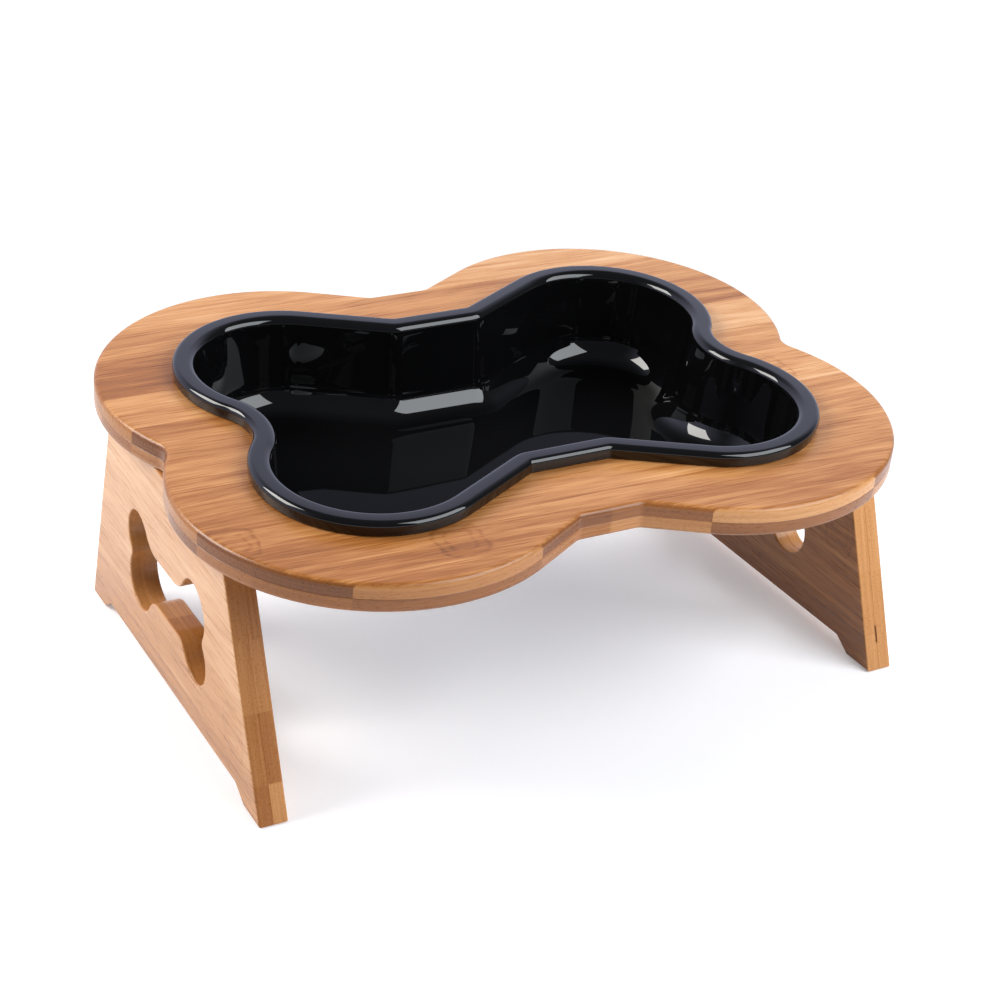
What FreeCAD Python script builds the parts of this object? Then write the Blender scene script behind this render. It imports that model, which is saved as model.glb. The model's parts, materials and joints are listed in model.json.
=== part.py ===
"""Raised dog feeder: a four-lobed ceramic bowl that hangs by its rim in a bamboo board on two bamboo legs.

Millimetres, +Z up, X along the feeder, front at -Y. The origin is on the floor, under the board's middle.
The board and the bowl are modelled in the board's own frame, whose origin is the middle of the board's upper
face, and are then tipped about the middle of the board, so that the front sits a little lower than the rear.
Each leg is modelled as a sheet lying flat, with its width along x and its height along y, and is then stood
up under the middle of the board's underside.
"""
import FreeCAD
import Part
import math
import os

V = FreeCAD.Vector

# Plan shared by the board and the bowl: the middles of the four lobes, and the least straight at a waist
lobe_spacing_x = 146.0
lobe_spacing_y = 81.6
waist_straight_least = 2.0

# Board of two glued plies
board_lobe_radius = 77.0
board_waist_depth = 22.6
board_waist_fillet = 5.0
board_waist_straight = 23.4
board_notch_fillet = 10.0
board_ply = 6.0
board_edge_round = 1.5
board_middle_height = 104.6
board_tilt_degrees = 5.0

# Bowl
rim_lobe_radius = 46.4
rim_waist_depth = 24.0
rim_waist_fillet = 4.0
rim_waist_straight = 32.0
rim_notch_fillet = 24.0
rim_height = 6.0
rim_width = 9.0
rim_outer_round = 3.6
rim_inner_round = 4.5
rim_seat_round = 1.0
bowl_depth = 35.5
wall_thickness = 4.0
wall_draft = 4.0
floor_thickness = 4.5
floor_round = 14.0
base_round = 14.0
opening_clearance = 1.0

# Legs of two glued plies, set in from the board's ends
leg_inset = 9.0
leg_ply = 5.8
leg_foot_width = 193.0
leg_lean_degrees = 19.5
leg_edge_round = 0.8
foot_length = 15.5
arch_height = 5.2
arch_step = 8.0
arch_round = 3.0

# Bone-shaped hand-hold in each leg
hold_lobe_radius = 12.0
hold_spacing_y = 62.0
hold_spacing_z = 19.0
hold_waist_depth = 11.0
hold_waist_fillet = 14.0
hold_waist_straight = 24.0
hold_notch_fillet = 4.0
hold_height = 47.5

# Glued dowels between the legs and the board, in line with the lobes' middles
dowel_diameter = 6.0
dowel_in_board = 8.0
dowel_in_leg = 16.0
dowel_chamfer = 0.8
glue_gap = 0.15

# Foot pads let into the underside of the legs
pad_diameter = 8.0
pad_recess = 1.0
pad_proud = 0.6
pad_edge_round = 0.3

# Length of every cutting tool past the face that it cuts, and the tolerance for picking flat edges
overrun = 1.0
flatness = 0.0001

board_thickness = 2 * board_ply
leg_outside = lobe_spacing_x / 2 + board_lobe_radius - leg_inset
leg_middle = leg_outside - leg_ply
leg_inside = leg_middle - leg_ply
tilt = math.radians(board_tilt_degrees)
leg_centre_y = board_ply * math.sin(tilt)
lean = math.tan(math.radians(leg_lean_degrees))
wall_slope = wall_draft / (rim_height + bowl_depth)


def arc(centre, radius, start, end):
    """Edge of a circle about centre, between two angles in radians."""
    angles = (start, (start + end) / 2, end)
    return Part.Arc(*[centre + V(radius * math.cos(t), radius * math.sin(t), 0) for t in angles]).toShape()


def straight(start, end):
    """List of the straight edge between two points, empty where they meet."""
    return [Part.makeLine(start, end)] if (end - start).Length > flatness else []


def lobed_wire(spacing_x, spacing_y, radius, waist_depth, waist_fillet, waist_straight, notch_fillet,
               inset=0.0):
    """Four-lobed outline drawn in by inset: lobes, rounded notches at the ends and straight waists.

    A waist lies waist_depth in from the lobes. Its two fillets leave the least straight between them, and at
    most waist_straight. A fillet that doesn't reach its lobe is joined to it by a straight flank.
    """
    lobe = V(spacing_x / 2, spacing_y / 2, 0)
    reach = lobe.x - waist_straight_least / 2
    rise = radius - waist_depth
    largest_fillet = (reach ** 2 + rise ** 2 - radius ** 2) / (2 * waist_depth)
    lobe_r = radius - inset
    notch_r = notch_fillet + inset
    fillet_r = min(waist_fillet, largest_fillet) + inset
    notch = V(lobe.x + math.sqrt((lobe_r + notch_r) ** 2 - lobe.y ** 2), 0, 0)
    fillet_y = lobe.y + rise - inset + fillet_r
    touching = lobe.x - math.sqrt((lobe_r + fillet_r) ** 2 - (fillet_y - lobe.y) ** 2)
    fillet = V(min(touching, waist_straight / 2), fillet_y, 0)
    to_notch = math.atan2(notch.y - lobe.y, notch.x - lobe.x)
    to_fillet = math.atan2(fillet.y - lobe.y, fillet.x - lobe.x)
    to_flank = to_fillet - math.acos(min(1.0, (lobe_r + fillet_r) / (fillet - lobe).Length))
    leaving = V(math.cos(to_flank), math.sin(to_flank), 0)
    flank = [lobe + leaving * lobe_r, fillet - leaving * fillet_r]
    mirrored_lobe = V(-lobe.x, lobe.y, 0)
    mirrored_fillet = V(-fillet.x, fillet.y, 0)
    mirrored_flank = [V(-p.x, p.y, 0) for p in reversed(flank)]
    half = [
        arc(notch, notch_r, math.pi - to_notch, math.pi + to_notch),
        arc(lobe, lobe_r, to_notch, to_flank),
        *straight(*flank),
        arc(fillet, fillet_r, to_flank + math.pi, 1.5 * math.pi),
        Part.makeLine(fillet - V(0, fillet_r, 0), mirrored_fillet - V(0, fillet_r, 0)),
        arc(mirrored_fillet, fillet_r, -math.pi / 2, -to_flank),
        *straight(*mirrored_flank),
        arc(mirrored_lobe, lobe_r, math.pi - to_flank, math.pi - to_notch),
    ]
    other_half = [edge.copy() for edge in half]
    for edge in other_half:
        edge.rotate(V(0, 0, 0), V(0, 0, 1), 180)
    return Part.Wire(half + other_half)


def board_wire():
    """Outer outline of the board."""
    return lobed_wire(lobe_spacing_x, lobe_spacing_y, board_lobe_radius, board_waist_depth,
                      board_waist_fillet, board_waist_straight, board_notch_fillet)


def bowl_wire(inset=0.0):
    """Outer outline of the bowl's rim, or one drawn in from it."""
    return lobed_wire(lobe_spacing_x, lobe_spacing_y, rim_lobe_radius, rim_waist_depth, rim_waist_fillet,
                      rim_waist_straight, rim_notch_fillet, inset)


def inner_inset(height):
    """Distance of the bowl's inner wall from the rim's outer outline, at a height above the board."""
    return rim_width + wall_slope * (rim_height - height)


def outer_inset(height):
    """Distance of the bowl's outer wall from the rim's outer outline, at a height above the board."""
    return inner_inset(height) - wall_thickness * math.hypot(1, wall_slope)


def raised(wire, height):
    """Copy of a wire at a height."""
    copy = wire.copy()
    copy.translate(V(0, 0, height))
    return copy


def prism(wire, bottom, top):
    """Upright solid on a wire, between two heights."""
    return Part.Face(raised(wire, bottom)).extrude(V(0, 0, top - bottom))


def tapered(top_inset, top, bottom_inset, bottom):
    """Solid between two outlines of the bowl at two heights."""
    wires = [raised(bowl_wire(bottom_inset), bottom), raised(bowl_wire(top_inset), top)]
    return Part.makeLoft(wires, True, True)


def flat_edges(shape, height):
    """Edges of a shape that lie in the plane at a height."""
    return [e for e in shape.Edges
            if abs(e.BoundBox.ZMin - height) < flatness and abs(e.BoundBox.ZMax - height) < flatness]


def rounded(shape, radius, height):
    """Shape with its edges at a height rounded."""
    return shape.makeFillet(radius, flat_edges(shape, height))


def on_board(shape):
    """Shape moved from the board's own frame to its place over the floor."""
    placed = shape.copy()
    placed.translate(V(0, 0, board_ply))
    placed.rotate(V(0, 0, 0), V(1, 0, 0), board_tilt_degrees)
    placed.translate(V(0, 0, board_middle_height))
    return placed


def make_bowl():
    """Bowl with a rounded rim that seats on the board, drafted walls and a flat floor."""
    base = -bowl_depth - floor_thickness
    rim = prism(bowl_wire(), 0, rim_height)
    rim = rounded(rim, rim_outer_round, rim_height)
    rim = rounded(rim, rim_seat_round, 0)
    body = tapered(outer_inset(rim_height / 2), rim_height / 2, outer_inset(base), base)
    body = rounded(body, base_round, base)
    cavity_top = rim_height + overrun
    cavity = tapered(inner_inset(cavity_top), cavity_top, inner_inset(-bowl_depth), -bowl_depth)
    cavity = rounded(cavity, floor_round, -bowl_depth)
    bowl = rim.fuse(body).cut(cavity).removeSplitter()
    top_face = [f for f in bowl.Faces if abs(f.BoundBox.ZMin - rim_height) < flatness][0]
    mouth = [w for w in top_face.Wires if not w.isSame(top_face.OuterWire)][0]
    return bowl.makeFillet(rim_inner_round, mouth.Edges)


def dowel_places():
    """Middles of the dowels in the board's plan."""
    return [V(sx * leg_middle, sy * lobe_spacing_y / 2, 0) for sx in (-1, 1) for sy in (-1, 1)]


def dowel_bores():
    """Cutting tools for the dowels, in the board's own frame."""
    radius = dowel_diameter / 2 + glue_gap
    low = -board_thickness - dowel_in_leg - glue_gap
    length = dowel_in_leg + dowel_in_board + 2 * glue_gap
    return Part.makeCompound([Part.makeCylinder(radius, length, p + V(0, 0, low)) for p in dowel_places()])


def make_dowels(side):
    """Dowels of one leg, in the board's own frame, with chamfered ends."""
    low = -board_thickness - dowel_in_leg
    length = dowel_in_leg + dowel_in_board
    dowels = []
    for place in dowel_places():
        if place.x * side > 0:
            dowel = Part.makeCylinder(dowel_diameter / 2, length, place + V(0, 0, low))
            ends = flat_edges(dowel, low) + flat_edges(dowel, low + length)
            dowels.append(dowel.makeChamfer(dowel_chamfer, ends))
    return Part.makeCompound(dowels)


def make_board_ply(bottom, top, rounded_face):
    """One ply of the board with the opening for the bowl, its outer face's edges rounded."""
    opening = bowl_wire(outer_inset(0) - opening_clearance)
    ply = prism(board_wire(), bottom, top).cut(prism(opening, bottom - overrun, top + overrun))
    return rounded(ply, board_edge_round, rounded_face).cut(dowel_bores())


def leg_top_corner(side):
    """Upper corner of a leg's sheet at the front (-1) or the rear (1), where its side meets the board."""
    underside = board_middle_height - board_ply / math.cos(tilt) + math.tan(tilt) * leg_centre_y
    rise = side * math.tan(tilt)
    height = (underside + rise * (leg_foot_width / 2 + lean * pad_proud)) / (1 + rise * lean)
    return V(side * (leg_foot_width / 2 - lean * (height - pad_proud)), height, 0)


def leg_wire():
    """Outline of a leg's sheet: leaning sides, a top along the board and an arch between the feet."""
    foot = leg_foot_width / 2
    heel = foot - foot_length
    step = heel - arch_step
    arch_top = pad_proud + arch_height
    corners = [V(-foot, pad_proud, 0), V(-heel, pad_proud, 0), V(-step, arch_top, 0), V(step, arch_top, 0),
               V(heel, pad_proud, 0), V(foot, pad_proud, 0), leg_top_corner(1), leg_top_corner(-1)]
    return Part.makePolygon(corners + corners[:1])


def stood_up(sheet):
    """Sheet turned so that its x, y and z lie along Y, Z and X, under the middle of the board."""
    turned = sheet.copy()
    turned.rotate(V(0, 0, 0), V(1, 1, 1), 120)
    turned.translate(V(0, leg_centre_y, 0))
    return turned


def pad_places():
    """Middles of one leg's foot pads along Y: half way along each foot."""
    return [leg_centre_y + side * (leg_foot_width - foot_length) / 2 for side in (-1, 1)]


def pad_disc(side, y, radius, bottom, top):
    """Upright disc under one foot."""
    return Part.makeCylinder(radius, top - bottom, V(side * leg_middle, y, bottom))


def make_leg_ply(side, inner, outer, rounded_face):
    """One ply of a leg between two distances from the middle, with its hand-hold and its bores."""
    sheet = prism(leg_wire(), inner, outer)
    corners = [e for e in sheet.Edges
               if abs(e.BoundBox.YMin - pad_proud - arch_height) < flatness and e.BoundBox.XLength < flatness
               and e.BoundBox.YLength < flatness]
    sheet = sheet.makeFillet(arch_round, corners)
    hold = lobed_wire(hold_spacing_y, hold_spacing_z, hold_lobe_radius, hold_waist_depth, hold_waist_fillet,
                      hold_waist_straight, hold_notch_fillet)
    hold.translate(V(0, hold_height, 0))
    sheet = sheet.cut(prism(hold, inner - overrun, outer + overrun))
    ply = stood_up(rounded(sheet, leg_edge_round, rounded_face))
    if side < 0:
        ply = ply.mirror(V(0, 0, 0), V(1, 0, 0))
    recesses = [pad_disc(side, y, pad_diameter / 2 + glue_gap, pad_proud - overrun, pad_proud + pad_recess)
                for y in pad_places()]
    return ply.cut(on_board(dowel_bores())).cut(Part.makeCompound(recesses))


def make_pad(side, y):
    """Foot pad that stands a little proud of its foot."""
    pad = pad_disc(side, y, pad_diameter / 2, 0, pad_proud + pad_recess)
    return rounded(pad, pad_edge_round, 0)


def make_parts():
    """Every node's shape by name, in its place."""
    parts = {
        "ceramic_bowl": on_board(make_bowl()),
        "board_upper_ply": on_board(make_board_ply(-board_ply, 0, 0)),
        "board_lower_ply": on_board(make_board_ply(-board_thickness, -board_ply, -board_thickness)),
    }
    for side, hand in ((-1, "left"), (1, "right")):
        parts[f"{hand}_leg_outer_ply"] = make_leg_ply(side, leg_middle, leg_outside, leg_outside)
        parts[f"{hand}_leg_inner_ply"] = make_leg_ply(side, leg_inside, leg_middle, leg_inside)
        parts[f"{hand}_leg_dowels"] = on_board(make_dowels(side))
        for y, end in zip(pad_places(), ("front", "rear")):
            parts[f"{end}_{hand}_foot_pad"] = make_pad(side, y)
    return parts


def main():
    os.makedirs("parts", exist_ok=True)
    for node, shape in make_parts().items():
        shape.exportStep(f"parts/{node}.step")
        print(f"{node}: {len(shape.Solids)} solids, valid {shape.isValid()}, {shape.Volume / 1000:.1f} cm3")


main()
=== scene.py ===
"""Raised dog feeder: the looks of a black glazed bowl in a stand of two-ply bamboo.

Metres, +Z up, X along the feeder, front at -Y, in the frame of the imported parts. Every new piece is a stack
of closed loops. A loop is an outline in a flat frame, and a piece's profile says how far each loop is drawn
in and at which level it lies.
"""
import json
import math

import bmesh
import bpy
import numpy as np
from bpy.props import FloatProperty, FloatVectorProperty, PointerProperty
from mathutils import Matrix, Vector


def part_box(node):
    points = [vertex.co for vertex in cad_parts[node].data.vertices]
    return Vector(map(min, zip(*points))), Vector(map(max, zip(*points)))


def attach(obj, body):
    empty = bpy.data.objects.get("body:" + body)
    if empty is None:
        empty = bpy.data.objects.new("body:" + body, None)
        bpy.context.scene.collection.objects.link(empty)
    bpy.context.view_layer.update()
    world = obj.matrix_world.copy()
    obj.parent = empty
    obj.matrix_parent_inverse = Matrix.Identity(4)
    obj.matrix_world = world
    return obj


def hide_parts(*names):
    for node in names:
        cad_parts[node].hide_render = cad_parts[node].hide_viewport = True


bl_info = {
    "name": "Raised Dog Feeder",
    "version": (1, 0, 0),
    "blender": (4, 5, 0),
    "location": "View3D > Sidebar > Feeder",
    "description": "Dresses the packed feeder: glazed bowl, bamboo board and legs, foot pads and stage",
    "category": "Add Mesh",
}

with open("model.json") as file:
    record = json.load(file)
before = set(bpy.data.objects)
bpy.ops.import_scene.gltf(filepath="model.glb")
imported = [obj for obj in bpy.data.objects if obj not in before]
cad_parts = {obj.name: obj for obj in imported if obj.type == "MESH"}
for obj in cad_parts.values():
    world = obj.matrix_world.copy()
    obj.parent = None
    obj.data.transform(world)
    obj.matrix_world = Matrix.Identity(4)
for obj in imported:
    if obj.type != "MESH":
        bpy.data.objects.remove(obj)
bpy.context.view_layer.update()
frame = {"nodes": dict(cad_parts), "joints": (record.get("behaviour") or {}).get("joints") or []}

LIFT_AXIS = Vector(frame["joints"][0]["axis"]).normalized()
TILT = math.atan2(-LIFT_AXIS.y, LIFT_AXIS.z)
BOARD_PLIES = ("board_upper_ply", "board_lower_ply")
BOARD_MIDDLE = (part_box(BOARD_PLIES[0])[1].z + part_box(BOARD_PLIES[1])[0].z) / 2
LEG_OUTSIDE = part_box("right_leg_outer_ply")[1].x
LEG_PLY = LEG_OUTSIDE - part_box("right_leg_outer_ply")[0].x
LEG_LOW, LEG_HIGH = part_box("right_leg_outer_ply")
LEG_CENTRE_Y = (LEG_LOW.y + LEG_HIGH.y) / 2
FOOT_HALF = (LEG_HIGH.y - LEG_LOW.y) / 2

# Edges sharper than this stay sharp in the shading
SHARP_EDGE = math.radians(32)

# Points along the runs of an outline. A waist has as many as a fillet.
NOTCH_POINTS = 32
LOBE_POINTS = 104
FLANK_POINTS = 12
FILLET_POINTS = 16
ARCH_POINTS = 6
PAD_POINTS = 48

# Plies: chamfer along the glue line, loops round an edge, place of the next loop in that edge's radii, and
# loops across a face
GLUE_CHAMFER = 0.00012
EDGE_LOOPS = 9
SUPPORT = 1.25
BOARD_SPANS = 7
LEG_SPANS = 5

# Loops on each stretch of the bowl's profile
BOWL_LOOPS = {"base_corner": 15, "outside": 6, "rim": 13, "mouth": 15, "inside": 14, "floor_corner": 19,
              "flat": 9}

# Foot pads: loops round the lower edge, and a pad's height in radii of that edge
PAD_LOOPS = 6
PAD_HEIGHT = 5

# Fillet between the bowl's wall and the seat under its rim: how far down, and how far out
SEAT_FILLET = (0.0004, 0.0006)

# Front or lower side of the first strip of the plies
BOARD_STRIP_START = -0.1335
LEG_STRIP_START = -0.0103

# Knuckles lie within this range along the grain. A strip without one has it at the range's end, off the ply.
KNUCKLE_RANGE = 0.40

# Slit in the right leg's glue line, painted as shade with no gap in the mesh: X of that line, and the slit's
# ends above the floor. Then the distances from the line, and the places along the leg, at which it ends and
# is full.
RIGHT_SLIT = (0.1352, 0.0106, 0.0189)
SLIT_WIDTH = (0.0006, 0.0002)
SLIT_FRONT = (-0.05, -0.06)

# Tones of the strips, from 0, dark, to 1, pale, and which strips have a knuckle, and where along the grain. A
# ply's sides have other tones than its faces, and left and right of the middle are different lengths of
# bamboo. Some face tones also hold painted shade, as noted below. The seed shifts a ply's grain.
BAMBOO_LOOKS = {
    "board_upper_ply": {
        "seed": 0.0,
        # The first face tones, at the front, are partly the strips' own tone and partly painted shade, for a
        # top that takes less light at the front.
        "face": (0.44, 0.44, 0.47, 0.50, 0.59, 0.52, 0.65, 0.38, 0.54, 0.67),
        "side_left": (0.48, 0.12, 0.16, 0.44, 0.40, 0.12, 0.46, 0.40, 0.50, 0.48),
        "side_right": (0.66, 0.22, 0.52, 0.62, 0.55, 0.58, 0.50, 0.45, 0.52, 0.50),
        "knuckles": {1: -0.063, 2: -0.140, 4: 0.118},
        "drift": 0.48,
    },
    "board_lower_ply": {
        "seed": 11.0,
        "face": (0.56, 0.62, 0.52, 0.58, 0.64, 0.50, 0.60, 0.64, 0.52, 0.60),
        "side_left": (0.24, 0.36, 0.40, 0.20, 0.44, 0.42, 0.30, 0.46, 0.34, 0.46),
        "side_right": (0.24, 0.52, 0.28, 0.40, 0.48, 0.34, 0.40, 0.48, 0.36, 0.46),
        "knuckles": {1: 0.080, 3: -0.100, 6: 0.130, 8: 0.040},
    },
    "left_leg_outer_ply": {
        "seed": 22.0,
        "face": (0.53, 0.66, 0.77, 0.76, 0.72),
        "side_left": (0.34, 0.42, 0.49, 0.48, 0.46),
        "side_right": (0.50, 0.56, 0.56, 0.54, 0.52),
        "knuckles": {1: -0.071},
    },
    "left_leg_inner_ply": {
        "seed": 28.0,
        "face": (0.60, 0.66, 0.70, 0.64, 0.66),
        "side_left": (0.60, 0.38, 0.47, 0.45, 0.44),
        "side_right": (0.52, 0.54, 0.58, 0.52, 0.52),
        "knuckles": {2: 0.070, 4: 0.020},
    },
    "right_leg_outer_ply": {
        "seed": 28.0,
        "face": (0.64, 0.70, 0.66, 0.74, 0.68),
        "side_left": (0.62, 0.60, 0.66, 0.64, 0.62),
        "side_right": (0.56, 0.54, 0.58, 0.56, 0.56),
        "knuckles": {1: -0.050, 4: 0.036},
        "slit": RIGHT_SLIT,
    },
    "right_leg_inner_ply": {
        "seed": 34.0,
        # The low face tones are painted shade: this face lies in the shade under the board.
        "face": (0.28, 0.36, 0.42, 0.40, 0.42),
        "side_left": (0.64, 0.62, 0.64, 0.66, 0.60),
        "side_right": (0.56, 0.54, 0.58, 0.56, 0.56),
        "knuckles": {1: 0.030, 2: -0.066},
        "slit": RIGHT_SLIT,
    },
}

# How far the grain shifts and slants from strip to strip
STRIP_SHIFT = 3.7
STRIP_SLANT = 0.09

# Noises on the bamboo's faces: waves per metre along and across the grain, detail and roughness. The lines on
# its sides have waves along, across and through the ply.
GRAIN_NOISES = {"broad": (6.0, 75.0, 3.0, 0.5), "streak": (13.0, 310.0, 3.0, 0.6),
                "fibre": (50.0, 1250.0, 2.0, 0.6), "pore": (55.0, 1900.0, 1.0, 0.5)}
SIDE_LINE_WAVES = (9.0, 14.0, 1050.0)

# How far each mark moves the bamboo's tone, and the tones at which its four colours lie
TONE_DEPTHS = {"broad": 0.46, "streak": 0.60, "fibre": 0.55, "pore": 0.05, "seam": 0.16, "knuckle": 0.17,
               "side_line": 0.42, "side_fibre": 0.16, "slit": 0.8}
TONE_STOPS = (0.0, 0.35, 0.65, 1.0)

# Knuckles: half lengths along and across the grain, power of their rounded frames, and waves per metre and
# depth of their wobble. Then the width of a seam.
KNUCKLE_HALVES = (0.0090, 0.0098)
KNUCKLE_POWER = 4.0
KNUCKLE_WOBBLE = (160.0, 0.55)
SEAM_WIDTH = 0.0005

# Heights over the bowl's base and floor at which the dry foot and the floor's cut gloss end and are full, and
# the share of the gloss cut from the floor. That cut is painted shade: the floor mirrors less of the
# backdrop, standing in for the dark that a deeper bowl's walls would give its reflection.
DRY_FOOT = (0.0009, 0.0004)
SHADED_FLOOR_HEIGHTS = (0.0040, 0.0004)
SHADE_GLOSS_CUT = 0.95

# Softboxes round the feeder: azimuth from +Y towards +X and elevation in degrees, width and height, radiance,
# tint, and whether the glaze mirrors them
SOFTBOX_DISTANCE = 1.0
SOFTBOXES = {
    "front_softbox": (144.0, 34.0, (0.90, 0.76), 5.9, (0.90, 0.94, 0.98), True),
    "left_softbox": (-66.0, 39.0, (0.52, 0.48), 11.6, (0.97, 0.95, 0.90), True),
    "rear_softbox": (45.0, 52.0, (0.45, 0.45), 4.7, (0.90, 0.97, 1.0), False),
}

# The backdrop by the direction of a ray: its turn towards -X, where it starts and is full towards the rear,
# and where it ends and is full below the top
BACKDROP_TURN = 0.15
BACKDROP_REAR = (-0.25, 0.45)
BACKDROP_TOP = (0.93, 0.50)

# White of the world and of the far floor, and that floor's strength
WHITE = (1.0, 1.0, 1.0, 1.0)
FAR_FLOOR = 1.02


def length(label, metres, text):
    """A property that holds a size in metres."""
    return FloatProperty(name=label, description=text, default=metres, min=0.0, precision=5,
                         subtype="DISTANCE", unit="LENGTH")


def angle(label, degrees, text):
    """A property that holds an angle."""
    return FloatProperty(name=label, description=text, default=math.radians(degrees), subtype="ANGLE",
                         unit="ROTATION")


def colour(label, rgb, text):
    """A property that holds a linear colour."""
    return FloatVectorProperty(name=label, description=text, default=rgb, size=3, min=0.0, max=1.0,
                               subtype="COLOR")


class BoardSettings(bpy.types.PropertyGroup):
    """Sizes of the board, whose four lobes have the same middles as the bowl's."""
    lobe_x: length("Lobe X", 0.073, "Distance of a lobe's middle from the middle, along X")
    lobe_y: length("Lobe Y", 0.0408, "Distance of a lobe's middle from the middle, along Y")
    radius: length("Lobe radius", 0.077, "Radius of the board's lobes")
    waist_depth: length("Waist depth", 0.0226, "How far a waist lies in from the lobes")
    waist_fillet: length("Waist fillet", 0.005, "Radius in the corners of a waist")
    waist_straight: length("Waist straight", 0.0234, "Length of the straight between a waist's fillets")
    notch_fillet: length("Notch fillet", 0.010, "Radius in the notch between two lobes")
    ply: length("Ply", 0.006, "Thickness of one ply")
    edge_round: length("Edge round", 0.0021, "Radius along the outer edges")
    opening_gap: length("Opening gap", 0.001, "Gap between the bowl's wall and the board")


class BowlSettings(bpy.types.PropertyGroup):
    """Sizes of the bowl."""
    radius: length("Lobe radius", 0.0464, "Radius of the rim's lobes")
    waist_depth: length("Waist depth", 0.024, "How far a waist lies in from the lobes")
    waist_fillet: length("Waist fillet", 0.004, "Radius in the corners of a waist")
    waist_straight: length("Waist straight", 0.032, "Length of the straight between a waist's fillets")
    notch_fillet: length("Notch fillet", 0.024, "Radius in the notch between two lobes")
    rim_height: length("Rim height", 0.0059, "Height of the rim above the board")
    rim_width: length("Rim width", 0.009, "Width of the rim at its top")
    rim_outer_round: length("Rim outer round", 0.0023, "Radius along the rim's outer top edge")
    rim_inner_round: length("Rim inner round", 0.0034, "Radius along the rim's inner top edge")
    seat_round: length("Seat round", 0.001, "Radius along the rim's lower edge")
    depth: length("Depth", 0.0355, "Depth of the floor below the board's upper face")
    wall: length("Wall", 0.004, "Thickness of the wall")
    draft: length("Draft", 0.004, "How far the wall leans in from the rim to the floor")
    base: length("Base", 0.0045, "Thickness of the floor")
    floor_round: length("Floor round", 0.014, "Radius between the wall and the floor, inside and outside")


class LegSettings(bpy.types.PropertyGroup):
    """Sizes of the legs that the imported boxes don't give."""
    lean: angle("Lean", 19.5, "Angle of a leg's sides from the upright")
    edge_round: length("Edge round", 0.0008, "Radius along the edges of the outer and inner faces")
    foot_length: length("Foot length", 0.0155, "Length of each foot on the floor")
    arch_height: length("Arch height", 0.0052, "Height of the arch between the feet")
    arch_step: length("Arch step", 0.008, "Length of the slope at each end of the arch")
    arch_round: length("Arch round", 0.003, "Radius in the arch's upper corners")


class HoldSettings(bpy.types.PropertyGroup):
    """Sizes of the hand-hold in each leg."""
    height: length("Height", 0.0475, "Height of the hold's middle above the floor")
    lobe_x: length("Lobe along", 0.031, "Distance of a lobe's middle from the hold's middle, along Y")
    lobe_y: length("Lobe up", 0.0095, "Distance of a lobe's middle from the hold's middle, along Z")
    radius: length("Lobe radius", 0.012, "Radius of the hold's lobes")
    waist_depth: length("Waist depth", 0.011, "How far a waist lies in from the lobes")
    waist_fillet: length("Waist fillet", 0.014, "Radius in the corners of a waist")
    waist_straight: length("Waist straight", 0.024, "Longest straight between a waist's fillets")
    notch_fillet: length("Notch fillet", 0.004, "Radius in the notch between two lobes")


class FinishSettings(bpy.types.PropertyGroup):
    """Colours of the finishes, linear."""
    bamboo_dark: colour("Bamboo dark", (0.120, 0.036, 0.009), "Darkest fibres")
    bamboo_brown: colour("Bamboo brown", (0.325, 0.115, 0.026), "Brown strips")
    bamboo_middle: colour("Bamboo middle", (0.552, 0.254, 0.087), "Plain fibres")
    bamboo_light: colour("Bamboo light", (0.775, 0.478, 0.254), "Palest fibres")
    glaze: colour("Glaze", (0.0035, 0.0035, 0.0038), "Glaze of the bowl")
    bisque: colour("Dry foot", (0.030, 0.029, 0.028), "Unglazed underside of the bowl")
    beech: colour("Beech", (0.560, 0.360, 0.190), "Dowels")
    rubber: colour("Rubber", (0.022, 0.021, 0.020), "Foot pads")
    strip_width: length("Strip width", 0.0252, "Width of the strips that the plies are glued up from")


class StageSettings(bpy.types.PropertyGroup):
    """Camera, floor and light."""
    eye: FloatVectorProperty(name="Eye", description="Place of the camera", size=3, subtype="TRANSLATION",
                             default=(-0.37068, -0.69189, 0.45537), unit="LENGTH")
    azimuth: angle("Azimuth", -28.45, "Turn of the camera about Z, from looking along +Y")
    elevation: angle("Elevation", 26.64, "Angle of the camera above the horizon")
    roll: angle("Roll", 2.48, "Turn of the camera about its own axis")
    lens: FloatProperty(name="Lens", description="Focal length on a 36 mm sensor", default=76.667,
                        unit="CAMERA")
    floor: colour("Floor", (0.86, 0.86, 0.875), "Colour of the floor")
    floor_size: length("Floor size", 8.0, "Side of the floor")
    floor_middle: FloatVectorProperty(name="Floor middle", description="Middle of the floor's shaded part",
                                      default=(0.02, 0.0), size=2, unit="LENGTH")
    floor_near: length("Floor near", 0.22, "Where the floor starts to fade to white")
    floor_far: length("Floor far", 0.50, "Where the floor is white")
    floor_lift: FloatProperty(name="Floor lift", description="Light that the floor adds for the camera",
                              default=0.28)
    backdrop: colour("Backdrop", (0.70, 0.73, 0.96), "Light of the backdrop behind the feeder")
    dim: colour("Dim", (0.11, 0.115, 0.13), "Light of the rest of the studio")


class FeederSettings(bpy.types.PropertyGroup):
    """All sizes and colours of the feeder."""
    board: PointerProperty(type=BoardSettings)
    bowl: PointerProperty(type=BowlSettings)
    leg: PointerProperty(type=LegSettings)
    hold: PointerProperty(type=HoldSettings)
    finish: PointerProperty(type=FinishSettings)
    stage: PointerProperty(type=StageSettings)


def settings():
    """The feeder's settings in the open scene."""
    return bpy.context.scene.feeder


# Outlines and loops


def arc(centre, radius, start, end, count, outward):
    """Points c + r (cos t, sin t) of an arc without its end, with normals from c, or to c for outward -1."""
    t = np.linspace(start, end, count, endpoint=False)
    unit = np.stack([np.cos(t), np.sin(t)], axis=1)
    return centre + radius * unit, outward * unit


def line(start, end, normal, count):
    """Points of a straight run without its end, a + (b - a) s, all with the same normal."""
    share = np.linspace(0.0, 1.0, count, endpoint=False)[:, None]
    return start + (end - start) * share, np.tile(normal, (count, 1))


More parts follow.
